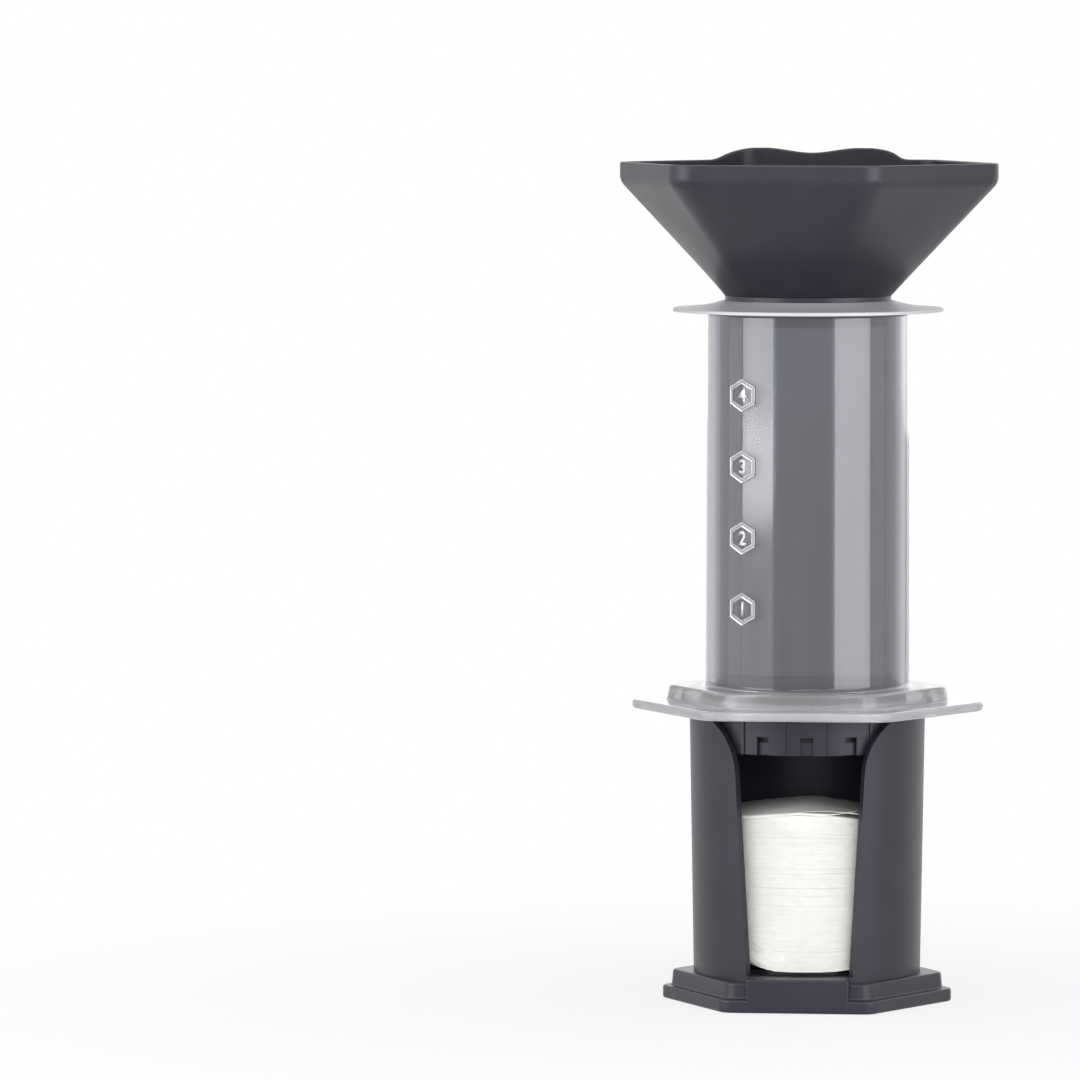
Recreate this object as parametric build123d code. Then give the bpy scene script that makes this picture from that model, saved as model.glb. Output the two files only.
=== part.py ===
from build123d import *
from math import asin, cos, radians, sin, sqrt, tan
import os

# Coffee press standing on its paper-filter holder, with the filling funnel on top.
# Millimetres. The origin is the middle of the foot's underside, Z is up, and the
# window of the holder faces -Y. Hexagons have corners on X and flats on Y.

os.makedirs("parts", exist_ok=True)

# Fits shared by several pieces
drop_in_gap = 0.3
twist_gap = 0.25
running_gap = 0.12
seat_gap = 0.05
overrun = 1.0

# Paper filters
paper_diameter = 63.5
paper_thickness = 0.153
stack_sheets = 328
loose_sheets = 3
stack_bundles = 12
bundle_shift = 0.4
bundle_turn = 137.0
loose_shift = 1.1
loose_turn = 110.0
stack_setback = 1.3
stack_headroom = 19.43

# Brew chamber
paper_clamp_width = 1.75
paper_edge_gap = 0.25
chamber_wall = 2.9
chamber_taper = 0.35
chamber_rise = 128.3
chamber_base_fillet = 1.3
chamber_mouth_round = 0.6
flange_thickness = 3.0
flange_ledge = 9.4
flange_corner_radius = 10.0
hub_height = 4.9
hub_ledge = 8.3
hub_draft = 12.0
hub_corner_radius = 12.5
hub_base_fillet = 1.0
flange_edge_round = 1.1
hub_edge_round = 1.4
lug_count = 4
lug_span = 28.0
lug_depth = 1.1
lug_height = 1.8

# Filter cap
cap_height = 11.8
cap_top_gap = 0.4
cap_wall = 1.4
cap_rim_width = 3.9
cap_rim_height = 3.9
cap_disc_thickness = 1.6
tab_height = 1.8
tab_depth = 1.0
grip_count = 15
grip_start = -86.0
notch_width = 4.1
notch_height = 5.8
rib_width = 1.1
rib_height = 0.45
drain_rings = 5
drain_size = 2.0
drain_field_share = 0.86

# Filter holder
sleeve_wall = 2.4
sleeve_draft = 0.95
plate_thickness = 4.2
plate_ledge = 2.5
foot_step_height = 5.2
foot_step_ledge = 1.65
foot_step_draft = 5.0
foot_corner_radius = 5.5
foot_wall = 2.4
foot_edge_round = 0.8
foot_crease_fillet = 0.9
floor_rise = 1.5
pad_height = 1.2
pad_inset = 4.0
sill_half_width = 16.5
sill_round = 0.8
window_half_width = 17.1
window_edge_angle = 33.0
window_side_lean = 3.2
window_flare_radius = 19.5
window_flare_end = 80.0

# Plunger
plunger_gap = 1.5
plunger_wall = 3.0
plunger_floor = 3.0
press_flange_overhang = 10.7
press_flange_rim = 1.75
press_flange_lift = 0.65
press_flange_rise = 2.4
press_flange_edge_round = 0.5
press_flange_dip = 0.65
press_collar_wall = 2.0
press_fillet = 1.0
stem_radius_share = 0.76
head_radius_share = 0.88
head_height = 4.5

# Plunger seal
seal_rest_gap = 0.6
seal_height = 17.8
seal_floor = 5.0
seal_lip_height = 3.4
seal_waist = 0.9
seal_lip_slope = 1.2
seal_dish = 1.2

# Funnel
funnel_wall = 1.8
spigot_length = 8.0
neck_shoulder = 1.65
neck_height = 1.5
cone_height = 36.75
rim_height = 6.2
rim_apothem = 55.2
rim_corner_radius = 10.0
rim_edge_round = 0.6
neck_corner_span = 12.0
cone_rim_round = 5.0
funnel_turn = -7.7
crest_offset = -3.0
crest_half_width = 33.0
crest_peak_offset = 14.4
crest_peak = 3.7
crest_valley = 2.1
crest_shoulder_offset = 28.2
crest_shoulder = 1.55

# Radii, from the paper outward
paper_radius = paper_diameter / 2
bore_radius = paper_radius - paper_clamp_width
collar_radius = paper_radius + paper_edge_gap
lug_radius = collar_radius + lug_depth
cap_inner_radius = lug_radius + twist_gap
cap_outer_radius = cap_inner_radius + cap_wall
grip_radius = cap_outer_radius + rib_height
cap_disc_radius = cap_inner_radius - cap_rim_width
cap_drop = cap_top_gap + cap_height
sleeve_slope = tan(radians(sleeve_draft))
sleeve_inner_top_radius = grip_radius + drop_in_gap + cap_drop * sleeve_slope
sleeve_top_radius = sleeve_inner_top_radius + sleeve_wall
chamber_radius = bore_radius + chamber_wall
hub_apothem = chamber_radius + hub_ledge
flange_apothem = hub_apothem + flange_ledge
press_tube_radius = bore_radius - plunger_gap
press_bore_radius = press_tube_radius - plunger_wall
press_collar_radius = press_bore_radius + press_collar_wall
press_flange_radius = chamber_radius + press_flange_overhang
spigot_radius = press_bore_radius - drop_in_gap
neck_radius = spigot_radius + neck_shoulder
spigot_bore_radius = spigot_radius - funnel_wall
stem_radius = stem_radius_share * press_tube_radius
head_radius = head_radius_share * press_tube_radius
seal_radius = bore_radius - running_gap

# Heights, from the foot upward
foot_height = plate_thickness + foot_step_height
floor_level = foot_height + floor_rise
stack_height = stack_sheets * paper_thickness
pad_top = floor_level + pad_height
stack_top = pad_top + stack_height
papers_top = stack_top + loose_sheets * paper_thickness
cap_bottom = papers_top + stack_headroom
cap_top = cap_bottom + cap_height
flange_bottom = cap_top + cap_top_gap
disc_top = cap_bottom + cap_rim_height
chamber_bottom = disc_top + paper_thickness
chamber_top = flange_bottom + chamber_rise
flange_top = flange_bottom + flange_thickness
hub_top = flange_top + hub_height
tab_bottom = cap_top - tab_height
lug_top = tab_bottom - seat_gap
seal_bottom = chamber_bottom + seal_rest_gap
seal_top = seal_bottom + seal_height
press_rim_top = chamber_top + press_flange_rim
press_top = press_rim_top + press_flange_rise
cone_bottom = press_top + neck_height
rim_bottom = cone_bottom + cone_height
rim_top = rim_bottom + rim_height

# Foot outline, from the sleeve outward
sleeve_foot_radius = sleeve_top_radius - (flange_bottom - foot_height) * sleeve_slope
foot_step_apothem = sleeve_foot_radius + foot_step_ledge
foot_step_base_apothem = foot_step_apothem + foot_step_height * tan(radians(foot_step_draft))
plate_apothem = foot_step_base_apothem + plate_ledge


def sleeve_radius(level):
    """Outer radius of the drafted sleeve at a height."""
    return sleeve_top_radius - (flange_bottom - level) * sleeve_slope


def rounded_hexagon(apothem, corner_radius):
    """Hexagon with rounded corners on X and flats on Y."""
    outline = RegularPolygon(apothem, 6, major_radius=False)
    return fillet(outline.vertices(), corner_radius)


def hexagon_block(apothem, corner_radius, bottom, height, draft=0.0):
    """Upright block on a rounded hexagon, narrower towards its top by its draft."""
    outline = Pos(0, 0, bottom) * rounded_hexagon(apothem, corner_radius)
    return extrude(outline, height, dir=(0, 0, 1), taper=draft)


def disc(radius, bottom, height):
    """Upright cylinder standing on a height."""
    return Pos(0, 0, bottom) * extrude(Circle(radius), height)


def turned(*points):
    """Solid of revolution about Z from corners given as radius and height."""
    return revolve(make_face(Plane.XZ * Polyline(*points, close=True)), Axis.Z)


def turned_sector(inner, outer, bottom, top, middle_angle, span):
    """Part of a ring about Z, centred on an angle from +X."""
    section = make_face(
        Plane.XZ * Polyline((inner, bottom), (outer, bottom), (outer, top), (inner, top), close=True)
    )
    return Rot(0, 0, middle_angle - span / 2) * revolve(section, Axis.Z, revolution_arc=span)


def edges_at(shape, level):
    """Edges that lie flat at a height."""
    return shape.edges().filter_by_position(Axis.Z, level - seat_gap, level + seat_gap)


def window_half():
    """Cutter for the window's right half, square to the sleeve wall near its edge."""
    turn = radians(window_edge_angle)
    across = Vector(cos(turn), sin(turn), 0)
    outward = Vector(sin(turn), -cos(turn), 0)
    plane = Plane(origin=(0, 0, 0), x_dir=across, z_dir=outward)
    sill_radius = sleeve_radius(floor_level)
    sill_edge = sill_radius * sin(asin(window_half_width / sill_radius) - turn)
    middle = -sleeve_top_radius * sin(turn) - overrun
    lean = radians(window_side_lean)
    flare_rise = window_flare_radius * (sin(radians(window_flare_end)) - sin(lean))
    flare_start = flange_bottom - flare_rise
    flare_edge = sill_edge + (flare_start - floor_level) * tan(lean)
    side = Line((sill_edge, floor_level), (flare_edge, flare_start))
    flare = JernArc(side @ 1, side % 1, window_flare_radius, window_side_lean - window_flare_end)
    above = flange_bottom + overrun
    rest = Polyline(
        flare @ 1,
        ((flare @ 1).X, above),
        (middle, above),
        (middle, floor_level),
        (sill_edge, floor_level),
    )
    outline = make_face(plane * (Curve() + [side, flare, rest]))
    near = (sill_radius - sleeve_wall) * cos(turn) - overrun
    return Pos(outward * near) * extrude(outline, sleeve_top_radius - near + overrun, dir=outward)


def make_filter_holder():
    plate = hexagon_block(plate_apothem, foot_corner_radius, 0, plate_thickness)
    plate = fillet(edges_at(plate, 0) + edges_at(plate, plate_thickness), foot_edge_round)
    step = hexagon_block(
        foot_step_base_apothem, foot_corner_radius, plate_thickness, foot_step_height, foot_step_draft
    )
    step = fillet(edges_at(step, foot_height), foot_edge_round)
    foot = plate + step
    crease = edges_at(foot, plate_thickness)
    foot = fillet(crease, foot_crease_fillet)

    sill_bottom = plate_thickness / 2
    sill_depth = plate_apothem - sleeve_foot_radius + sleeve_wall
    sill = Pos(0, sill_depth / 2 - plate_apothem, sill_bottom) * Box(
        2 * sill_half_width,
        sill_depth,
        floor_level - sill_bottom,
        align=(Align.CENTER, Align.CENTER, Align.MIN),
    )
    front = sill.faces().sort_by(Axis.Y)[0]
    sill = fillet(front.edges().filter_by(Axis.Z), sill_round)
    sill_top = edges_at(sill, floor_level)
    sill_lip = sill_top.filter_by_position(Axis.Y, -plate_apothem, sill_round - plate_apothem)
    sill = fillet(sill_lip, sill_round)

    cup_bottom = foot_height - foot_wall
    cup = turned(
        (0, cup_bottom),
        (sleeve_radius(cup_bottom), cup_bottom),
        (sleeve_top_radius, flange_bottom),
        (sleeve_inner_top_radius, flange_bottom),
        (sleeve_radius(floor_level) - sleeve_wall, floor_level),
        (paper_radius - pad_inset, floor_level),
        (paper_radius - pad_inset, pad_top),
        (0, pad_top),
    )
    right = window_half()
    wall = cup - right - mirror(right, Plane.YZ)

    holder = foot + sill + wall
    pocket = hexagon_block(
        foot_step_apothem - foot_wall, foot_corner_radius, -overrun, cup_bottom + overrun
    )
    floor_pocket = disc(
        sleeve_foot_radius - sleeve_wall - foot_wall, -overrun, floor_level - foot_wall + overrun
    )
    return holder - pocket - floor_pocket


def make_paper_filter_stack():
    """Loose pile of sheets, modelled as bundles that lie a little askew."""
    bundle_height = stack_height / stack_bundles
    pile = []
    for k in range(stack_bundles):
        shift = Vector(bundle_shift, 0, 0).rotate(Axis.Z, k * bundle_turn)
        level = pad_top + k * bundle_height
        place = Pos(shift + Vector(0, stack_setback, 0))
        pile.append(place * disc(paper_radius, level, bundle_height))
    return Part() + pile


def make_loose_paper_filters():
    """Last sheets on the pile, each shifted its own way."""
    sheets = []
    for k in range(loose_sheets):
        shift = Vector(loose_shift, 0, 0).rotate(Axis.Z, k * loose_turn)
        level = stack_top + k * paper_thickness
        place = Pos(shift + Vector(0, stack_setback, 0))
        sheets.append(place * disc(paper_radius, level, paper_thickness))
    return Compound(children=sheets)


def make_seated_paper_filter():
    """Sheet held between the cap's disc and the end of the chamber."""
    return disc(paper_radius, disc_top, paper_thickness)


def make_filter_cap():
    disc_bottom = disc_top - cap_disc_thickness
    cap = turned(
        (0, disc_bottom),
        (cap_disc_radius, disc_bottom),
        (cap_disc_radius, cap_bottom),
        (cap_outer_radius, cap_bottom),
        (cap_outer_radius, cap_top),
        (cap_inner_radius, cap_top),
        (cap_inner_radius, disc_top),
        (0, disc_top),
    )
    pitch = 360 / grip_count
    core = disc(cap_inner_radius, cap_bottom - overrun, notch_height + 2 * overrun)
    rib = Pos(cap_outer_radius - cap_wall / 2, 0, cap_bottom) * Box(
        cap_wall / 2 + rib_height, rib_width, cap_height, align=(Align.MIN, Align.CENTER, Align.MIN)
    )
    notch = Pos(cap_inner_radius - cap_wall, 0, cap_bottom - overrun) * Box(
        2 * cap_wall + overrun,
        notch_width,
        notch_height + overrun,
        align=(Align.MIN, Align.CENTER, Align.MIN),
    )
    notch = notch - core
    turns = [grip_start + k * pitch for k in range(grip_count)]
    cap = cap + [Rot(0, 0, turn + pitch / 2) * rib for turn in turns]
    cap = cap - [Rot(0, 0, turn) * notch for turn in turns]
    tabs = [
        turned_sector(
            cap_inner_radius - tab_depth,
            cap_inner_radius + cap_wall / 2,
            tab_bottom,
            cap_top,
            k * 360 / lug_count,
            lug_span,
        )
        for k in range(lug_count)
    ]
    cap = cap + tabs
    drain_pitch = drain_field_share * bore_radius / drain_rings
    hole = RegularPolygon(drain_size / 2, 6)
    holes = []
    for q in range(-drain_rings, drain_rings + 1):
        for r in range(max(-drain_rings, -q - drain_rings), min(drain_rings, drain_rings - q) + 1):
            spot = Pos(drain_pitch * (q + r / 2), drain_pitch * r * sqrt(3) / 2, disc_bottom - overrun)
            holes.append(spot * hole)
    return cap - extrude(Sketch() + holes, cap_disc_thickness + 2 * overrun, dir=(0, 0, 1))


def make_brew_chamber():
    flange = hexagon_block(flange_apothem, flange_corner_radius, flange_bottom, flange_thickness)
    flange = fillet(edges_at(flange, flange_bottom) + edges_at(flange, flange_top), flange_edge_round)
    hub = hexagon_block(hub_apothem, hub_corner_radius, flange_top, hub_height, hub_draft)
    hub = fillet(edges_at(hub, hub_top), hub_edge_round)
    body = flange + hub
    body = fillet(edges_at(body, flange_top), hub_base_fillet)
    tube = turned(
        (0, hub_top - hub_height / 2),
        (chamber_radius, hub_top - hub_height / 2),
        (chamber_radius, hub_top),
        (chamber_radius - chamber_taper, chamber_top),
        (0, chamber_top),
    )
    body = body + tube
    tube_foot = edges_at(body, hub_top).filter_by(GeomType.CIRCLE).sort_by(SortBy.LENGTH)
    body = fillet(tube_foot[-1:], chamber_base_fillet)
    body = body + disc(collar_radius, chamber_bottom, flange_bottom - chamber_bottom + overrun)
    lugs = [
        turned_sector(
            bore_radius + chamber_wall / 2,
            lug_radius,
            lug_top - lug_height,
            lug_top,
            k * 360 / lug_count,
            lug_span,
        )
        for k in range(lug_count)
    ]
    body = body + lugs
    body = body - disc(bore_radius, chamber_bottom - overrun, chamber_top - chamber_bottom + 2 * overrun)
    return fillet(edges_at(body, chamber_top), chamber_mouth_round)


def make_plunger_tube():
    head_bottom = seal_bottom + seal_floor
    head_top = head_bottom + head_height
    rim = Polyline(
        (press_tube_radius, seal_top),
        (press_tube_radius, chamber_top),
        (chamber_radius, chamber_top),
        (press_flange_radius, chamber_top + press_flange_lift),
        (press_flange_radius, press_rim_top),
    )
    top = SagittaArc(rim @ 1, (press_collar_radius, press_top), press_flange_dip)
    rest = Polyline(
        top @ 1,
        (press_bore_radius, press_top),
        (press_bore_radius, seal_top + plunger_floor),
        (0, seal_top + plunger_floor),
        (0, head_bottom),
        (head_radius, head_bottom),
        (head_radius, head_top),
        (stem_radius, head_top),
        (stem_radius, seal_top),
        (press_tube_radius, seal_top),
    )
    plunger = revolve(make_face(Plane.XZ * (Curve() + [rim, top, rest])), Axis.Z)
    under = edges_at(plunger, chamber_top).sort_by(SortBy.LENGTH)
    plunger = fillet(under[:1], press_fillet)
    return fillet(edges_at(plunger, press_rim_top), press_flange_edge_round)


def make_plunger_seal():
    head_bottom = seal_bottom + seal_floor - seat_gap
    head_top = seal_bottom + seal_floor + head_height + seat_gap
    waist_radius = seal_radius - seal_waist
    lip_top = seal_bottom + seal_lip_height
    upper_lip = seal_top - seal_lip_height
    return turned(
        (0, seal_bottom + seal_dish),
        (head_radius, seal_bottom),
        (seal_radius - seal_lip_slope, seal_bottom),
        (seal_radius, seal_bottom + seal_lip_slope),
        (seal_radius, lip_top),
        (waist_radius, lip_top + seal_lip_slope),
        (waist_radius, upper_lip - seal_lip_slope),
        (seal_radius, upper_lip),
        (seal_radius, seal_top - seal_lip_slope),
        (seal_radius - seal_lip_slope, seal_top),
        (stem_radius + seat_gap, seal_top),
        (stem_radius + seat_gap, head_top),
        (head_radius + seat_gap, head_top),
        (head_radius + seat_gap, head_bottom),
        (0, head_bottom),
    )


def funnel_ring(radius, level):
    """Circle in twelve arcs, so that it can be joined to a rounded hexagon edge by edge."""
    flat_span = 60 - neck_corner_span
    arcs = []
    for k in range(6):
        start = 60 * k - neck_corner_span / 2
        arcs.append(CenterArc((0, 0), radius, start, neck_corner_span))
        arcs.append(CenterArc((0, 0), radius, start + neck_corner_span, flat_span))
    return Pos(0, 0, level) * make_face(Curve() + arcs)


def funnel_body(inset):
    """Solid body of the funnel above its neck, drawn in by the wall for its hollow."""
    outline = rounded_hexagon(rim_apothem - inset, rim_corner_radius - inset)
    ring = funnel_ring(neck_radius - inset, cone_bottom)
    cone = loft([ring, Pos(0, 0, rim_bottom) * outline], ruled=True)
    return cone + Pos(0, 0, rim_bottom) * extrude(outline, rim_height + crest_peak + inset)


def above_rim():
    """Cutter for all that stands over the rim, with a low double wave left at the rear."""
    reach = 2 * rim_apothem
    ceiling = rim_top + crest_peak + overrun
    wave = Spline(
        (crest_offset - crest_half_width, rim_top),
        (crest_offset - crest_shoulder_offset, rim_top + crest_shoulder),
        (crest_offset - crest_peak_offset, rim_top + crest_peak),
        (crest_offset, rim_top + crest_valley),
        (crest_offset + crest_peak_offset, rim_top + crest_peak),
        (crest_offset + crest_shoulder_offset, rim_top + crest_shoulder),
        (crest_offset + crest_half_width, rim_top),
        tangents=((1, 0), (1, 0)),
    )
    over = Polyline(
        wave @ 1, (reach, rim_top), (reach, ceiling), (-reach, ceiling), (-reach, rim_top), wave @ 0
    )
    rear = extrude(make_face(Plane.XZ * (Curve() + [wave, over])), reach, dir=(0, 1, 0))
    front = Pos(0, 0, rim_top) * Box(
        2 * reach, reach, crest_peak + overrun, align=(Align.CENTER, Align.MAX, Align.MIN)
    )
    return rear + front


def make_funnel():
    shell = funnel_body(0) + disc(neck_radius, press_top, neck_height)
    shell = shell + disc(spigot_radius, press_top - spigot_length, spigot_length)
    hollow = funnel_body(funnel_wall)
    hollow = hollow + disc(neck_radius - funnel_wall, cone_bottom - neck_height / 2, neck_height / 2)
    shell = shell - hollow
    bore_bottom = press_top - spigot_length - overrun
    shell = shell - disc(spigot_bore_radius, bore_bottom, cone_bottom - bore_bottom)
    shell = Rot(0, 0, funnel_turn) * shell - above_rim()
    shell = fillet(edges_at(shell, rim_bottom), cone_rim_round)
    brim = shell.edges().filter_by_position(Axis.Z, rim_top - seat_gap, rim_top + crest_peak + seat_gap)
    return fillet(brim, rim_edge_round)


pieces = {
    "filter_holder": make_filter_holder(),
    "paper_filter_stack": make_paper_filter_stack(),
    "loose_paper_filters": make_loose_paper_filters(),
    "filter_cap": make_filter_cap(),
    "seated_paper_filter": make_seated_paper_filter(),
    "brew_chamber": make_brew_chamber(),
    "plunger_tube": make_plunger_tube(),
    "plunger_seal": make_plunger_seal(),
    "funnel": make_funnel(),
}
for name, piece in pieces.items():
    export_step(piece, f"parts/{name}.step")
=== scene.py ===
# %% [markdown]
# # A coffee press on its filter holder
# The press stands as it does on a kitchen shelf: a dark holder full of paper filters at
# the bottom, the smoke-grey brew chamber with its plunger on top of it, and the filling
# funnel in the plunger's mouth. The rigid pieces come from the CAD model and keep their
# shape. Here they get their real finishes, and the papers and the scale marks are made.

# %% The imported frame
import bmesh
import bpy
import random
from math import cos, exp, pi, radians, sin, tau
from mathutils import Matrix, Vector


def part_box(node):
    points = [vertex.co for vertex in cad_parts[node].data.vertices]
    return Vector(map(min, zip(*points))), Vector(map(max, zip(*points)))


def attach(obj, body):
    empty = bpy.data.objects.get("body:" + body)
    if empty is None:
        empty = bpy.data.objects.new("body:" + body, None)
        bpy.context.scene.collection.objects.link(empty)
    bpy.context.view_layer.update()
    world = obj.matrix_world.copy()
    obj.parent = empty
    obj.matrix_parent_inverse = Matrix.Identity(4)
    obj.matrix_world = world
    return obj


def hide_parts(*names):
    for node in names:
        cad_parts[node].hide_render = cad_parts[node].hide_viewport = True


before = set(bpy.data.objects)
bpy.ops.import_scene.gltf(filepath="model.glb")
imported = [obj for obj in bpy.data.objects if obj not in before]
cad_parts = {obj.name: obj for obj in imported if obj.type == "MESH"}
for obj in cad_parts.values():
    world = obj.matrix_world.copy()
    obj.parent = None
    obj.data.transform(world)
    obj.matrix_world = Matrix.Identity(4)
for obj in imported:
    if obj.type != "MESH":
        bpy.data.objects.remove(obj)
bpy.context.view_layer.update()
mm = 0.001
scene = bpy.context.scene
scene.view_settings.view_transform = "Standard"
print("CAD nodes:", sorted(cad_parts))

# %% [markdown]
# ## Small helpers for the finishes
# Colours are written as sRGB hex, the way a paint chart or a picture editor shows them.
# Blender's shaders work in linear light, so one function turns the hex into that. A
# second function adds one node with its settings and links, which keeps each finish
# readable as a list of steps. Patterns are sized by the real width of one feature.

# %% Helpers for the finishes
def linear(code):
    """sRGB hex as linear red, green, blue and alpha."""
    parts = [int(code[k:k + 2], 16) / 255 for k in (1, 3, 5)]
    return [c / 12.92 if c <= 0.04045 else ((c + 0.055) / 1.055) ** 2.4 for c in parts] + [1.0]


def add(tree, kind, values=None, links=None, **settings):
    """One node: settings are its properties, values its sockets, links the sockets fed into it."""
    made = tree.nodes.new(kind)
    for name, value in settings.items():
        setattr(made, name, value)
    for name, value in (values or {}).items():
        made.inputs[name].default_value = value
    for name, source in (links or {}).items():
        tree.links.new(source, made.inputs[name])
    return made


def start_finish(name, **values):
    """A new material with one shader, whose plain numbers are set on its own sockets."""
    material = bpy.data.materials.new(name)
    material.use_nodes = True
    tree = material.node_tree
    shader = tree.nodes["Principled BSDF"]
    for socket, value in values.items():
        shader.inputs[socket.replace("_", " ")].default_value = value
    place = add(tree, "ShaderNodeTexCoord").outputs["Object"]
    return material, tree, shader, place


def per_metre(width_mm):
    """Texture scale at which one feature is about this wide."""
    return 1 / (width_mm * mm)


print("white is", linear("#ffffff"))

# %% [markdown]
# ## Charcoal polypropylene
# The holder, the funnel and the cap are injection-moulded polypropylene, coloured
# through. The mould was spark-eroded, so the skin is satin: a soft wide highlight and no
# mirror image. Close up it has a fine even grain, and the colour drifts a little where
# the melt flowed. The real grain is near 0.2 mm, too fine for the picture, so it is drawn
# at 0.7 mm. A faint, wide unevenness in the gloss stands for handling.

# %% Charcoal polypropylene
charcoal, tree, shader, place = start_finish(
    "charcoal_polypropylene_spark_eroded",
    IOR=1.49,
    Specular_IOR_Level=0.49,
    Specular_Tint=linear("#eeeef8"),
)
flow = add(tree, "ShaderNodeTexNoise", {"Scale": per_metre(14), "Detail": 3.0}, {"Vector": place})
tint = add(tree, "ShaderNodeValToRGB", links={"Fac": flow.outputs["Fac"]})
tint.color_ramp.elements[0].position, tint.color_ramp.elements[0].color = 0.3, linear("#1f2028")
tint.color_ramp.elements[1].position, tint.color_ramp.elements[1].color = 0.7, linear("#26272f")
tree.links.new(tint.outputs["Color"], shader.inputs["Base Color"])
handled = add(tree, "ShaderNodeTexNoise", {"Scale": per_metre(22), "Detail": 5.0}, {"Vector": place})
gloss = add(
    tree, "ShaderNodeMapRange", {"To Min": 0.33, "To Max": 0.43}, {"Value": handled.outputs["Fac"]}
)
tree.links.new(gloss.outputs["Result"], shader.inputs["Roughness"])
grain = add(tree, "ShaderNodeTexNoise", {"Scale": per_metre(0.7), "Detail": 2.0}, {"Vector": place})
skin = add(
    tree, "ShaderNodeBump", {"Strength": 0.22, "Distance": 0.05 * mm}, {"Height": grain.outputs["Fac"]}
)
tree.links.new(skin.outputs["Normal"], shader.inputs["Normal"])
print("made", charcoal.name)

# %% [markdown]
# ## Smoke-grey copolyester
# Chamber and plunger are a tough clear copolyester with a grey tint, moulded in polished
# steel. It is see-through but not quite clear: light is lost in each wall, and the haze
# sends a little of it back. In the thin tube walls that is hardly seen, but the hub and
# the flanges are looked at edgewise, through a hand's width of plastic, and there the haze
# wins and they look milky. A true scattering volume would be slow and would not export, so
# the distance from the axis and the height set the colour, the roughness and how much
# light passes. The tube is clear, the hub round its foot is soft, the wide flange is milky
# but clearer at its corners, and the press flange at the top is the most matt. The short
# collar under the wide flange sits in the shade of the cap. In a studio that is white all
# round it would glow, so there the plastic is painted near black and lets no light through:
# that is painted shade, not the plastic's own colour. The mould draws along the axis,
# which leaves weak upright flow lines, so the noise is stretched along Z.

# %% Smoke-grey copolyester
smoke, tree, shader, place = start_finish("smoke_copolyester_polished", IOR=1.57)
level_with = add(tree, "ShaderNodeMapping", {"Scale": (1.0, 1.0, 0.0)}, {"Vector": place})
reach = add(tree, "ShaderNodeVectorMath", links={0: level_with.outputs["Vector"]}, operation="LENGTH")
from_axis = reach.outputs["Value"]
height = add(tree, "ShaderNodeSeparateXYZ", links={"Vector": place}).outputs["Z"]
drawn = add(tree, "ShaderNodeMapping", {"Scale": (1.0, 1.0, 0.06)}, {"Vector": place})
flow = add(
    tree,
    "ShaderNodeTexNoise",
    {"Scale": per_metre(5), "Detail": 3.0},
    {"Vector": drawn.outputs["Vector"]},
)
tint = add(tree, "ShaderNodeValToRGB", links={"Fac": flow.outputs["Fac"]})
tint.color_ramp.elements[0].position, tint.color_ramp.elements[0].color = 0.25, linear("#b0b1b8")
tint.color_ramp.elements[1].position, tint.color_ramp.elements[1].color = 0.75, linear("#babbc1")
scuffs = add(tree, "ShaderNodeTexNoise", {"Scale": per_metre(9), "Detail": 6.0}, {"Vector": place})
gloss = add(
    tree, "ShaderNodeMapRange", {"To Min": 0.04, "To Max": 0.08}, {"Value": scuffs.outputs["Fac"]}
)
clear = add(
    tree, "ShaderNodeMapRange", {"To Min": 0.93, "To Max": 0.91}, {"Value": flow.outputs["Fac"]}
)
print("started", smoke.name)

# %% Milky zones and painted shade of the smoke-grey copolyester
colour, rough, passed = tint.outputs["Color"], gloss.outputs["Result"], clear.outputs["Result"]
# Each zone: what is measured, where it starts and is full in mm, colour, roughness, light passed.
zones = (
    ("hub", from_axis, 33.1, 34.4, "#f2f2f5", 0.25, 0.85),
    ("flange", height, 97.6, 97.3, "#dedee2", 0.1, 0.55),
    ("flange corners", from_axis, 54.5, 60.0, "#f2f2f5", 0.1, 0.8),
    ("press flange", height, 222.4, 223.2, "#dcdce0", 0.45, 0.15),
    # The collar's near-black colour and shut light are painted shade from the cap, not the plastic's
    # colour.
    ("painted shade on the collar in the cap", height, 94.3, 94.0, "#17181b", 0.6, 0.0),
)
for zone, measure, none_at, full_at, zone_colour, zone_rough, zone_passed in zones:
    edge = {"From Min": none_at * mm, "From Max": full_at * mm}
    mask = add(tree, "ShaderNodeMapRange", edge, {"Value": measure}).outputs["Result"]
    colour = add(
        tree, "ShaderNodeMix", {7: linear(zone_colour)}, {0: mask, 6: colour}, data_type="RGBA"
    ).outputs[2]
    rough = add(tree, "ShaderNodeMix", {3: zone_rough}, {0: mask, 2: rough}).outputs[0]
    passed = add(tree, "ShaderNodeMix", {3: zone_passed}, {0: mask, 2: passed}).outputs[0]
    print("smoke zone:", zone)
tree.links.new(colour, shader.inputs["Base Color"])
tree.links.new(rough, shader.inputs["Roughness"])
tree.links.new(passed, shader.inputs["Transmission Weight"])
skin = add(
    tree, "ShaderNodeBump", {"Strength": 0.1, "Distance": 0.04 * mm}, {"Height": flow.outputs["Fac"]}
)
tree.links.new(skin.outputs["Normal"], shader.inputs["Normal"])
print("made", smoke.name)

# %% [markdown]
# ## Black thermoplastic elastomer
# The plunger's seal is a moulded rubber. Rubber is nearly black with a dull, slightly
# greasy sheen, a bit grey where it rubbed along the chamber. The rub marks run round the
# seal, so the noise is squeezed along Z into thin level streaks.

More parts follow.
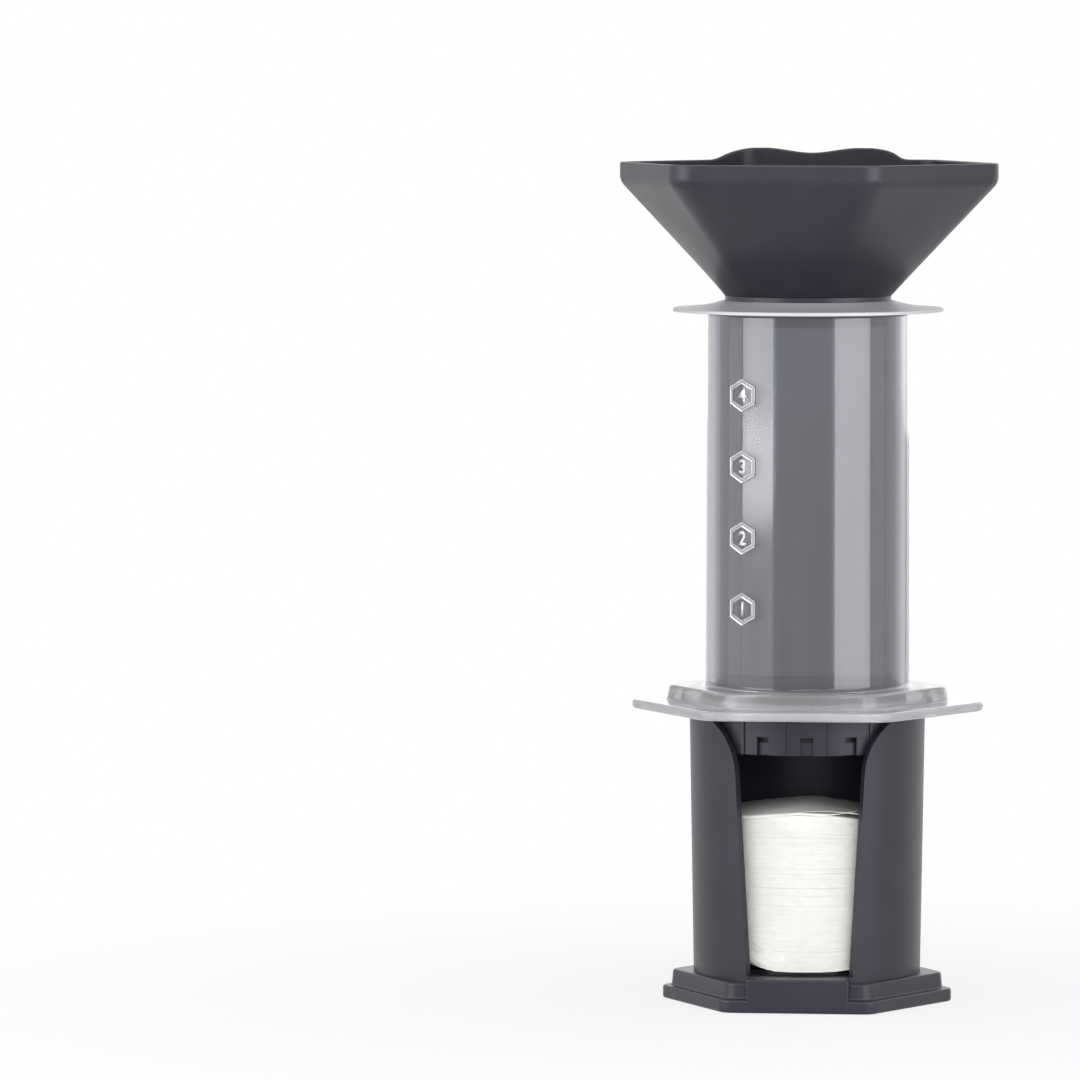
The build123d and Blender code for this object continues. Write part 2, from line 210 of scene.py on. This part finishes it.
# %% Black thermoplastic elastomer
rubber, tree, shader, place = start_finish("seal_elastomer_moulded", IOR=1.5)
rubbed = add(tree, "ShaderNodeMapping", {"Scale": (0.15, 0.15, 1.0)}, {"Vector": place})
streaks = add(
    tree,
    "ShaderNodeTexNoise",
    {"Scale": per_metre(1.2), "Detail": 4.0},
    {"Vector": rubbed.outputs["Vector"]},
)
tint = add(tree, "ShaderNodeValToRGB", links={"Fac": streaks.outputs["Fac"]})
tint.color_ramp.elements[0].position, tint.color_ramp.elements[0].color = 0.35, linear("#1d1e20")
tint.color_ramp.elements[1].position, tint.color_ramp.elements[1].color = 0.75, linear("#303134")
tree.links.new(tint.outputs["Color"], shader.inputs["Base Color"])
gloss = add(
    tree, "ShaderNodeMapRange", {"To Min": 0.5, "To Max": 0.7}, {"Value": streaks.outputs["Fac"]}
)
tree.links.new(gloss.outputs["Result"], shader.inputs["Roughness"])
print("made", rubber.name)

# %% [markdown]
# ## Bleached filter paper, dry, and rinsed with painted shade
# Filter paper is unsized cellulose: matt, a warm white, with cloudy patches where the
# fibres lie closer, and a fine crepe. The clouds are 3 mm wide. The crepe of 0.3 mm is
# drawn at 0.8 mm to show. The sheet in the cap has been rinsed, as it is before brewing.
# Wet paper lets light in rather than sending it back, so it is greyer and a bit glossy.
# Its colour is made darker still than wet paper, as painted shade: the sheet lies in the
# cap's shade and is seen through the cap's notches.

# %% Bleached filter paper, dry, and rinsed with painted shade
def paper_finish(name, thick_fibres, thin_fibres, roughness, specular):
    """Creped filter paper with cloudy patches between two colours."""
    made, tree, shader, place = start_finish(
        name, IOR=1.47, Roughness=roughness, Specular_IOR_Level=specular
    )
    clouds = add(tree, "ShaderNodeTexNoise", {"Scale": per_metre(3), "Detail": 5.0}, {"Vector": place})
    tint = add(tree, "ShaderNodeValToRGB", links={"Fac": clouds.outputs["Fac"]})
    tint.color_ramp.elements[0].position, tint.color_ramp.elements[0].color = 0.3, linear(thin_fibres)
    tint.color_ramp.elements[1].position, tint.color_ramp.elements[1].color = 0.7, linear(thick_fibres)
    tree.links.new(tint.outputs["Color"], shader.inputs["Base Color"])
    crepe = add(tree, "ShaderNodeTexNoise", {"Scale": per_metre(0.8), "Detail": 3.0}, {"Vector": place})
    skin = add(
        tree,
        "ShaderNodeBump",
        {"Strength": 0.3, "Distance": 0.06 * mm},
        {"Height": crepe.outputs["Fac"]},
    )
    tree.links.new(skin.outputs["Normal"], shader.inputs["Normal"])
    return made


paper = paper_finish("filter_paper_creped", "#fefefb", "#f9f8f4", 0.92, 0.25)
# The rinsed sheet is darker than wet paper is: painted shade, as it lies in the cap's shade.
rinsed_paper_with_painted_shade = paper_finish("filter_paper_creped_rinsed_painted_shade", "#76736c", "#63615b", 0.45, 0.4)
print("made", paper.name, "and", rinsed_paper_with_painted_shade.name)

# %% [markdown]
# ## Silver hot-stamping foil and etched plastic
# The scale marks stand a little proud of the chamber, and their edges are stamped with
# silver foil, a thin aluminium film. Foil is bright and only a little rough, and the
# heated die leaves it uneven, so its roughness wanders over about a millimetre. Between
# the bright edges the mark's sunk middle is the chamber's own plastic, dulled by an etched
# mould to a frosted grey.

# %% Silver hot-stamping foil and etched plastic
foil, tree, shader, place = start_finish("silver_foil_hot_stamped", Metallic=1.0)
worn = add(tree, "ShaderNodeTexNoise", {"Scale": per_metre(1.2), "Detail": 4.0}, {"Vector": place})
tint = add(tree, "ShaderNodeValToRGB", links={"Fac": worn.outputs["Fac"]})
tint.color_ramp.elements[0].position, tint.color_ramp.elements[0].color = 0.3, linear("#c6c6c9")
tint.color_ramp.elements[1].position, tint.color_ramp.elements[1].color = 0.7, linear("#e6e6e8")
tree.links.new(tint.outputs["Color"], shader.inputs["Base Color"])
gloss = add(tree, "ShaderNodeMapRange", {"To Min": 0.2, "To Max": 0.42}, {"Value": worn.outputs["Fac"]})
tree.links.new(gloss.outputs["Result"], shader.inputs["Roughness"])

frosted, tree, shader, place = start_finish("smoke_copolyester_etched", IOR=1.57, Roughness=0.34)
etched = add(tree, "ShaderNodeTexNoise", {"Scale": per_metre(0.9), "Detail": 3.0}, {"Vector": place})
tint = add(tree, "ShaderNodeValToRGB", links={"Fac": etched.outputs["Fac"]})
tint.color_ramp.elements[0].position, tint.color_ramp.elements[0].color = 0.3, linear("#88898f")
tint.color_ramp.elements[1].position, tint.color_ramp.elements[1].color = 0.7, linear("#a0a1a6")
tree.links.new(tint.outputs["Color"], shader.inputs["Base Color"])
skin = add(
    tree, "ShaderNodeBump", {"Strength": 0.25, "Distance": 0.03 * mm}, {"Height": etched.outputs["Fac"]}
)
tree.links.new(skin.outputs["Normal"], shader.inputs["Normal"])
print("made", foil.name, "and", frosted.name)

# %% [markdown]
# ## Finishes on the CAD pieces
# Each CAD piece is one moulding of one material, so it takes one finish. Its shape stays
# as the CAD model gives it: only the material slot changes.

# %% Finishes on the CAD pieces
finishes = {
    "filter_holder": charcoal,
    "filter_cap": charcoal,
    "funnel": charcoal,
    "brew_chamber": smoke,
    "plunger_tube": smoke,
    "plunger_seal": rubber,
    "seated_paper_filter": rinsed_paper_with_painted_shade,
}
for name, finish in finishes.items():
    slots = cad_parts[name].data.materials
    slots.clear()
    slots.append(finish)
print("finished", len(finishes), "CAD pieces")

# %% [markdown]
# ## The pile of paper filters
# The holder carries more than 300 cut discs. A plain drum would look like a roll of tape:
# the eye reads paper from the many thin edges that don't quite line up. So every sheet is
# its own thin disc. One disc is made from a circle by an extrude, and copies of it are laid
# on each other, each turned and pushed a little. Handfuls of sheets were dropped in
# together, so a shared push every dozen or two, with a hair more air below, makes the fine
# dark lines between them. Paper is limp, so at the top the sheets hang down towards the
# left and right, and at the foot they are bent up there. Two smooth rules move the
# corners of the finished pile for that.

# %% One sheet of the pile
def new_piece(bm, name, finish, body):
    """The bmesh as an object at the origin that moves with a body."""
    mesh = bpy.data.meshes.new(name)
    bm.to_mesh(mesh)
    bm.free()
    mesh.materials.append(finish)
    piece = bpy.data.objects.new(name, mesh)
    scene.collection.objects.link(piece)
    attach(piece, body)
    return piece


sheet_radius = 31.75 * mm
sheet_pitch = 0.153 * mm
sheet_thickness = 0.12 * mm
sheet_sides = 40
pile_low, pile_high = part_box("paper_filter_stack")
pile_middle = (pile_low + pile_high) / 2
sheet_count = int((pile_high.z - pile_low.z) / sheet_pitch)

disc = bmesh.new()
bmesh.ops.create_circle(disc, cap_ends=True, radius=sheet_radius, segments=sheet_sides)
lifted = bmesh.ops.extrude_face_region(disc, geom=disc.faces[:])
top_corners = [part for part in lifted["geom"] if isinstance(part, bmesh.types.BMVert)]
bmesh.ops.translate(disc, verts=top_corners, vec=(0, 0, sheet_thickness))
bmesh.ops.recalc_face_normals(disc, faces=disc.faces[:])
one_sheet = bpy.data.meshes.new("one_sheet")
disc.to_mesh(one_sheet)
disc.free()
print("one sheet has", len(one_sheet.polygons), "faces")

# %% How the pile bends
droop_depth, droop_left, droop_right = 14 * mm, 3.2 * mm, 5.0 * mm
droop_power = 1.3
lift_depth, lift_left, lift_right = 18 * mm, 3.8 * mm, 0.9 * mm
lift_start, lift_steepness = 0.45, 18


def droop(spot):
    """How far a spot near the top of the pile hangs down towards its left and right sides."""
    across = (spot.x - pile_middle.x) / sheet_radius
    near_top = min(1.0, max(0.0, 1 - (pile_high.z - spot.z) / droop_depth))
    side = droop_right if across > 0 else droop_left
    return near_top**2 * side * abs(across) ** droop_power


def lift(spot):
    """How far a spot near the foot of the pile is bent up at its left and right sides."""
    across = (spot.x - pile_middle.x) / sheet_radius
    near_foot = min(1.0, max(0.0, 1 - (spot.z - pile_low.z) / lift_depth))
    side = lift_right if across > 0 else lift_left
    return near_foot**2 * side / (1 + exp(-lift_steepness * (abs(across) - lift_start)))


print("sides hang by up to", round(droop_right / mm, 2), "mm")
print("and are bent up by up to", round(lift_left / mm, 2), "mm")

# %% Laying the pile
# Pushes are in mm, and the tilt is in degrees.
fewest_in_handful, most_in_handful = 9, 26
handful_aside, handful_back, sheet_push = 0.16, 0.14, 0.06
most_extra_air, usual_extra_air = 0.06 * mm, 0.002 * mm
most_tilt = 0.05
squeeze = sheet_pitch / (sheet_pitch + usual_extra_air)
pile_seed = 7

chance = random.Random(pile_seed)
pile = bmesh.new()
handful_left, handful_push, level = 0, Vector(), pile_low.z
for k in range(sheet_count):
    air = sheet_pitch - sheet_thickness
    if handful_left == 0:
        handful_left = chance.randint(fewest_in_handful, most_in_handful)
        aside = chance.uniform(-handful_aside, handful_aside)
        back = chance.uniform(-handful_back, handful_back)
        handful_push = Vector((aside, back, 0)) * mm
        air += chance.uniform(0.0, most_extra_air) if k else 0
    handful_left -= 1
    push = handful_push + Vector((chance.gauss(0, sheet_push), chance.gauss(0, sheet_push), 0)) * mm
    middle = Vector((pile_middle.x, pile_middle.y, level)) + push
    tilt = Matrix.Rotation(radians(chance.uniform(-most_tilt, most_tilt)), 4, "Y")
    turn = Matrix.Rotation(chance.uniform(0, tau), 4, "Z")
    first = len(pile.verts)
    pile.from_mesh(one_sheet)
    pile.verts.ensure_lookup_table()
    lay = Matrix.Translation(middle) @ tilt @ turn
    bmesh.ops.transform(pile, matrix=lay, verts=pile.verts[first:])
    level += sheet_thickness + air * squeeze
bpy.data.meshes.remove(one_sheet)
for corner in pile.verts:
    corner.co.z += lift(corner.co) - droop(corner.co)
paper_pile = new_piece(pile, "paper_filter_pile", paper, "papers")
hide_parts("paper_filter_stack")
print("laid", sheet_count, "sheets, flat top at", round(level / mm, 2), "mm")
print("top of the CAD pile at", round(pile_high.z / mm, 2), "mm")

# %% [markdown]
# ## The last sheets on the pile
# Sheets that were picked up and dropped back lie loose. They belly up in the middle and
# curl at one side. Each is spun from a spoke with several corners, so that there are
# rings of faces to bend, then bent by a smooth rule and given its thickness. Last it is
# put in its place, where it hangs down at the sides as the pile under it does.

# %% The last sheets on the pile
curl_start, curl_steepness = 0.78, 14


def curl_height(spot, belly, curl, toward):
    """How far a loose sheet lifts off the pile at a spot."""
    across = (spot.x * cos(toward) + spot.y * sin(toward)) / sheet_radius
    outward = spot.length / sheet_radius
    raised = curl / (1 + exp(-curl_steepness * (across - curl_start)))
    return belly * (1 - outward * outward) + raised


# The first sheet lies a share of the pitch above the foot of the CAD sheets.
loose_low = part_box("loose_paper_filters")[0]
loose_pitch, first_share = 0.2 * mm, 0.6
loose_merge = 0.001 * mm
spoke_shares = (0, 0.3, 0.55, 0.72, 0.84, 0.93, 1)
spin_steps = 72
loose = bmesh.new()
# Each sheet: push aside and back, belly and curl in mm, and the side that curls in degrees.
loose_sheets = [
    (0.9, 0.3, 0.5, 0.5, -35),
    (-0.7, -0.4, 0.8, 0.7, -60),
    (-0.2, 0.8, 1.1, 0.9, 150),
    (0.8, -0.5, 1.4, 2.4, -48),
    (-0.5, 0.2, 1.6, 4.2, -22),
]
for k, (aside, back, belly, curl, toward) in enumerate(loose_sheets):
    sheet = bmesh.new()
    spoke = [sheet.verts.new((sheet_radius * share, 0, 0)) for share in spoke_shares]
    ribs = [sheet.edges.new(pair) for pair in zip(spoke, spoke[1:])]
    bmesh.ops.spin(
        sheet,
        geom=spoke + ribs,
        axis=(0, 0, 1),
        cent=(0, 0, 0),
        angle=tau,
        steps=spin_steps,
        use_merge=True,
    )
    bmesh.ops.remove_doubles(sheet, verts=sheet.verts[:], dist=loose_merge)
    bmesh.ops.recalc_face_normals(sheet, faces=sheet.faces[:])
    for corner in sheet.verts:
        corner.co.z += curl_height(corner.co, belly * mm, curl * mm, radians(toward))
    bmesh.ops.solidify(sheet, geom=sheet.faces[:], thickness=sheet_thickness)
    level = loose_low.z + (k + first_share) * loose_pitch
    middle = Vector((pile_middle.x + aside * mm, pile_middle.y + back * mm, level))
    bmesh.ops.translate(sheet, verts=sheet.verts[:], vec=middle)
    for corner in sheet.verts:
        corner.co.z -= droop(corner.co)
    bmesh.ops.recalc_face_normals(sheet, faces=sheet.faces[:])
    made = bpy.data.meshes.new("loose_sheet")
    sheet.to_mesh(made)
    sheet.free()
    loose.from_mesh(made)
    bpy.data.meshes.remove(made)
for face in loose.faces:
    face.smooth = True
top_papers = new_piece(loose, "loose_paper_sheets", paper, "papers")
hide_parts("loose_paper_filters")
print("laid", len(loose_sheets), "loose sheets")

# %% [markdown]
# ## Scale marks on the chamber
# Four cup marks stand in a column on the chamber's front left: a plain numeral in a
# six-sided ring. Each is made flat first. The ring is a six-sided circle, inset by the
# stroke and opened in the middle, and the numeral is a text made into a mesh. Both get a
# little height. The ring's top is then inset once more and sunk, which leaves a narrow
# raised edge on both sides of it. Last they are wrapped round the chamber, which is a
# slightly tapered tube, so that they sit on it from every side.

# %% Sizes of the scale marks
tube_low, tube_high = 102.3 * mm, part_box("brew_chamber")[1].z
tube_low_radius, tube_taper = 32.9 * mm, 0.35 * mm
ring_width, ring_tall, ring_stroke = 10.3 * mm, 10.5 * mm, 1.35 * mm
ring_proud = 0.36 * mm
ring_edge = 0.3 * mm
ring_middle_depth = 0.2 * mm
ring_cuts = 3
numeral_tall, numeral_bolder = 4.7 * mm, 0.16 * mm
numeral_proud = 0.16 * mm
numeral_merge = 0.002 * mm
font_size_per_height = 1.37
mark_sunk = 0.04 * mm
print("rings are", round(ring_tall / mm, 2), "mm tall")

# %% Helpers for the scale marks
def chamber_radius(level):
    """Outer radius of the tapered tube at a height."""
    return tube_low_radius - tube_taper * (level - tube_low) / (tube_high - tube_low)


def wrap_on_chamber(bm, toward, level):
    """Bends a flat mark, drawn in X and Y, round the chamber. Z becomes its height off the wall."""
    for corner in bm.verts:
        height = level + corner.co.y
        angle = toward + corner.co.x / chamber_radius(height)
        reach = chamber_radius(height) - mark_sunk + corner.co.z
        corner.co = (reach * sin(angle), -reach * cos(angle), height)


def six_sided_ring(bm):
    """Flat six-sided ring with its points up and down, divided so that it can bend."""
    bmesh.ops.create_circle(bm, cap_ends=True, radius=ring_tall / 2, segments=6)
    bmesh.ops.scale(bm, vec=(ring_width / ring_tall / cos(pi / 6), 1, 1), verts=bm.verts[:])
    inner = bm.faces[:]
    bmesh.ops.inset_region(
        bm, faces=inner, thickness=ring_stroke, use_boundary=True, use_even_offset=True
    )
    bmesh.ops.delete(bm, geom=inner, context="FACES_ONLY")
    bmesh.ops.subdivide_edges(bm, edges=bm.edges[:], cuts=ring_cuts, use_grid_fill=True)


def numeral_mesh(text):
    """A numeral as a flat mesh with a slightly bold stroke."""
    curve = bpy.data.curves.new("numeral", "FONT")
    curve.body, curve.offset = text, numeral_bolder
    curve.size = numeral_tall * font_size_per_height
    shown = bpy.data.objects.new("numeral", curve)
    scene.collection.objects.link(shown)
    mesh = bpy.data.meshes.new_from_object(shown.evaluated_get(bpy.context.evaluated_depsgraph_get()))
    bpy.data.objects.remove(shown)
    bpy.data.curves.remove(curve)
    return mesh


def raise_flat(bm, proud):
    """Gives a flat shape its height off the wall and returns its top faces."""
    bm.normal_update()
    bmesh.ops.reverse_faces(bm, faces=[face for face in bm.faces if face.normal.z < 0])
    raised = bmesh.ops.extrude_face_region(bm, geom=bm.faces[:])
    lifted = [part for part in raised["geom"] if isinstance(part, bmesh.types.BMVert)]
    bmesh.ops.translate(bm, verts=lifted, vec=(0, 0, proud + mark_sunk))
    return [part for part in raised["geom"] if isinstance(part, bmesh.types.BMFace)]


print("radius at the top of the tube is", round(chamber_radius(tube_high) / mm, 2), "mm")

# %% Scale marks on the chamber
# Each mark: numeral, angle from the front in degrees, height in mm.
cup_marks = (
    ("4", -35.86, 197.2),
    ("3", -35.67, 174.3),
    ("2", -35.49, 151.4),
    ("1", -35.31, 128.6),
)
for text, toward, level in cup_marks:
    flat = numeral_mesh(text)
    digit = bmesh.new()
    digit.from_mesh(flat)
    xs, ys = [v.co.x for v in digit.verts], [v.co.y for v in digit.verts]
    to_middle = (-(min(xs) + max(xs)) / 2, -(min(ys) + max(ys)) / 2, 0)
    bmesh.ops.translate(digit, verts=digit.verts[:], vec=to_middle)
    bmesh.ops.remove_doubles(digit, verts=digit.verts[:], dist=numeral_merge)
    raise_flat(digit, numeral_proud)
    digit.to_mesh(flat)
    digit.free()
    bm = bmesh.new()
    six_sided_ring(bm)
    tops = raise_flat(bm, ring_proud)
    bmesh.ops.inset_region(
        bm, faces=tops, thickness=ring_edge, depth=-ring_middle_depth, use_even_offset=True
    )
    for face in tops:
        face.material_index = 1
    bm.from_mesh(flat)
    bpy.data.meshes.remove(flat)
    wrap_on_chamber(bm, radians(toward), level * mm)
    bmesh.ops.recalc_face_normals(bm, faces=bm.faces[:])
    mark = new_piece(bm, "cup_mark_" + text, foil, "chamber")
    mark.data.materials.append(frosted)
    print("mark", text, "has", len(mark.data.polygons), "faces")

# %% [markdown]
# ## Floor and background
# The picture is a white cut-out, so the floor and the world are white to the camera, to
# mirrors and to glass, at a strength of one. To everything else the world is a weak grey
# fill. Near the press the floor keeps part of its real shading, so that the press casts a
# soft shadow, and further out it fades to plain white.

# %% Floor
# Lengths are in metres, and white_at_press is the share of plain white beside the press.
floor_radius, floor_drop, floor_sides = 1.6, 0.1 * mm, 96
shadow_until, white_from = 0.07, 0.35
white_at_press = 0.8

floor = bmesh.new()
bmesh.ops.create_circle(floor, cap_ends=True, radius=floor_radius, segments=floor_sides)
bmesh.ops.translate(floor, verts=floor.verts[:], vec=(0, 0, -floor_drop))
floor_mesh = bpy.data.meshes.new("studio_floor")
floor.to_mesh(floor_mesh)
floor.free()
studio_floor = bpy.data.objects.new("studio_floor", floor_mesh)
scene.collection.objects.link(studio_floor)


def seen_directly(tree):
    """One for rays to the camera, to mirrors and through glass, and nought for the light's own."""
    rays = add(tree, "ShaderNodeLightPath").outputs
    seen = rays["Is Camera Ray"]
    for other in (rays["Is Glossy Ray"], rays["Is Transmission Ray"]):
        seen = add(tree, "ShaderNodeMath", links={0: seen, 1: other}, operation="MAXIMUM").outputs[0]
    return seen


white_board = bpy.data.materials.new("white_painted_board")
white_board.use_nodes = True
tree = white_board.node_tree
tree.nodes.clear()
spot = add(tree, "ShaderNodeTexCoord").outputs["Object"]
away = add(tree, "ShaderNodeVectorMath", links={0: spot}, operation="LENGTH")
fade = add(
    tree,
    "ShaderNodeMapRange",
    {"From Min": shadow_until, "From Max": white_from, "To Min": white_at_press},
    {"Value": away.outputs["Value"]},
)
share = add(
    tree,
    "ShaderNodeMath",
    links={0: seen_directly(tree), 1: fade.outputs["Result"]},
    operation="MULTIPLY",
)
paint = add(tree, "ShaderNodeBsdfDiffuse", {"Color": linear("#f3f3f3")})
glow = add(tree, "ShaderNodeEmission", {"Color": linear("#ffffff"), "Strength": 1.0})
both = add(
    tree,
    "ShaderNodeMixShader",
    links={0: share.outputs[0], 1: paint.outputs[0], 2: glow.outputs[0]},
)
add(tree, "ShaderNodeOutputMaterial", links={"Surface": both.outputs[0]})
floor_mesh.materials.append(white_board)
print("floor reaches", floor_radius, "m")

# %% Background
world = bpy.data.worlds.new("white_studio")
scene.world = world
world.use_nodes = True
tree = world.node_tree
tree.nodes.clear()
strength = add(
    tree, "ShaderNodeMapRange", {"To Min": 0.35, "To Max": 1.0}, {"Value": seen_directly(tree)}
)
sky = add(
    tree,
    "ShaderNodeBackground",
    {"Color": linear("#ffffff")},
    {"Strength": strength.outputs["Result"]},
)
add(tree, "ShaderNodeOutputWorld", links={"Surface": sky.outputs[0]})
print("background is white to the eye")

# %% [markdown]
# ## Lights and camera
# Gloss and dull surfaces are lit apart here. Two tall soft boxes left and right of the
# camera are only mirrored: they draw the long upright bands on the chamber, and where a
# band ends tells where the box ends. The left one stops above the table with a weak glow
# below it, the right one reaches down to the table, and a strip makes each brighter at its
# foot. Two weak boxes at the far left and right draw the pale lines along the edges. The
# fills stand for the white room in front: they light the paper and the frosted plastic
# evenly, and are kept out of mirrors, or they would draw bands of their own. A large weak
# box overhead lights the rims, and one at the back lifts the edges. The camera is a long
# lens far away, a little above the press and to its right.

# %% Soft boxes for the bands
def soft_box(name, toward, distance, low, high, wide, radiance):
    """A soft box facing the press, at an angle from the front, with its edges at two heights.

    All lengths are in metres, and radiance is its brightness to the eye.
    """
    lamp = bpy.data.lights.new(name, "AREA")
    lamp.shape, lamp.size, lamp.size_y = "RECTANGLE", wide, high - low
    lamp.energy = radiance * pi * wide * (high - low)
    light = bpy.data.objects.new(name, lamp)
    scene.collection.objects.link(light)
    light.location = (distance * sin(toward), -distance * cos(toward), (low + high) / 2)
    light.rotation_euler = (radians(90), 0, toward)
    light.visible_camera = False
    return light


left_at, left_wide, left_low = radians(-55), 0.78, 0.092
right_at, right_wide, right_low = radians(56.9), 0.89, -0.02
mirrored = (
    soft_box("left_soft_box", left_at, 1.1, left_low, 1.3, left_wide, 3.55),
    soft_box("left_low_strip", left_at, 1.09, left_low, 0.14, left_wide, 2.1),
    soft_box("left_floor_glow", left_at, 1.08, 0.0, left_low, left_wide, 0.9),
    soft_box("left_edge_box", radians(-86), 1.1, 0.0, 1.3, 0.4, 0.7),
    soft_box("right_soft_box", right_at, 1.1, right_low, 1.2, right_wide, 2.9),
    soft_box("right_foot_strip", right_at, 1.09, right_low, 0.19, right_wide, 0.7),
    soft_box("right_edge_box", radians(90), 1.1, 0.0, 1.2, 0.4, 0.4),
)
for box in mirrored:
    box.visible_diffuse = False
print(len(mirrored), "soft boxes are only mirrored")

# %% Fills, top and back light
fills = (
    soft_box("left_fill", radians(-36), 1.2, 0.02, 0.5, 0.6, 2.5),
    soft_box("right_fill", radians(38), 1.2, 0.02, 0.5, 0.6, 2.5),
    soft_box("front_fill", radians(6), 1.4, 0.02, 0.5, 0.8, 5.8),
)
for fill in fills:
    fill.visible_glossy = fill.visible_transmission = False
front = soft_box("front_soft_box", radians(3), 1.0, 0.7, 1.4, 0.9, 1.6)
front.rotation_euler.x = radians(45)
soft_box("back_soft_box", radians(170), 1.6, 0.1, 1.4, 1.6, 0.7)
overhead = soft_box("overhead_soft_box", 0.0, 0.0, 0.0, 1.2, 1.2, 1.0)
overhead.location, overhead.rotation_euler = (0, 0, 1.5), (0, 0, 0)
print("lit by", len(bpy.data.lights), "lamps")

# %% Camera
# The lens and the camera's place come from a fit to the edges of foot, flange and rim.
lens = bpy.data.cameras.new("long_lens")
lens.sensor_width, lens.lens = 36.0, 278.69
lens.clip_end = 20.0
camera = bpy.data.objects.new("camera", lens)
scene.collection.objects.link(camera)
camera.location = (0.20056, -2.69236, 0.32454)
camera.rotation_euler = (radians(86.2827), 0, radians(6.0979))
scene.camera = camera
print("camera is", round(camera.location.length, 3), "m away")
